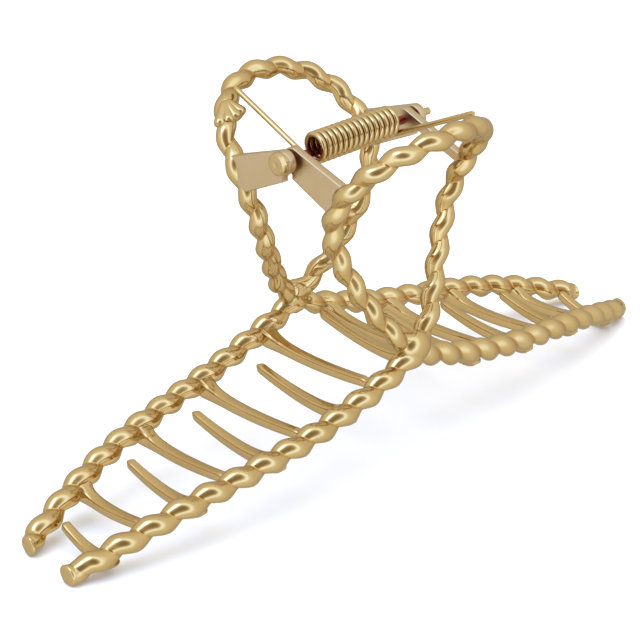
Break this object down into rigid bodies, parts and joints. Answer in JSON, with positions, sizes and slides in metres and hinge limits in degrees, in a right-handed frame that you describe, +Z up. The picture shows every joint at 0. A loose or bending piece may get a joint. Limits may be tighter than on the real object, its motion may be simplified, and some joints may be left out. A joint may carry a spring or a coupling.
{
  "type": "claw hair clip",
  "caption": "Twisted-rope metal claw clip: two cast halves with looped handles and interleaving teeth, closed by a torsion spring on a hinge pin.",
  "frame": {"origin": "on the floor midway between the arms' cut ends, straight under the hinge pin", "axes": "+X along the clip and the hinge pin towards the pin's thin tail, +Y from the front half to the rear half, +Z up through the handles"},
  "size_m": [0.1064, 0.0386, 0.049],
  "materials": {
    "cast_metal": "gold plated casting, polished with soft satin flats",
    "pin": "gold plated, polished",
    "spring_wire": "gold plated spring wire, satin"
  },
  "bodies": {
    "rear_half": {"rear_handle_loop": "cast_metal", "rear_arm_left": "cast_metal", "rear_arm_right": "cast_metal", "rear_teeth_left": "cast_metal", "rear_teeth_right": "cast_metal", "rear_lug_left": "cast_metal", "rear_lug_right": "cast_metal", "rear_spring_seat": "cast_metal", "hinge_pin": "pin", "torsion_spring": "spring_wire"},
    "front_half": {"front_handle_loop": "cast_metal", "front_arm_left": "cast_metal", "front_arm_right": "cast_metal", "front_teeth_left": "cast_metal", "front_teeth_right": "cast_metal", "front_middle_tooth": "cast_metal", "front_lug_left": "cast_metal", "front_lug_right": "cast_metal", "front_spring_seat": "cast_metal", "spring_front_leg": "spring_wire"}
  },
  "joints": [
    {"name": "jaw_hinge", "type": "hinge", "parent": "rear_half", "child": "front_half", "pos_m": [0, 0, 0.04236], "axis": [-1, 0, 0], "range_deg": [0, 70], "stiffness_Nm_per_rad": 0.022, "springref_deg": -85.94}
  ]
}
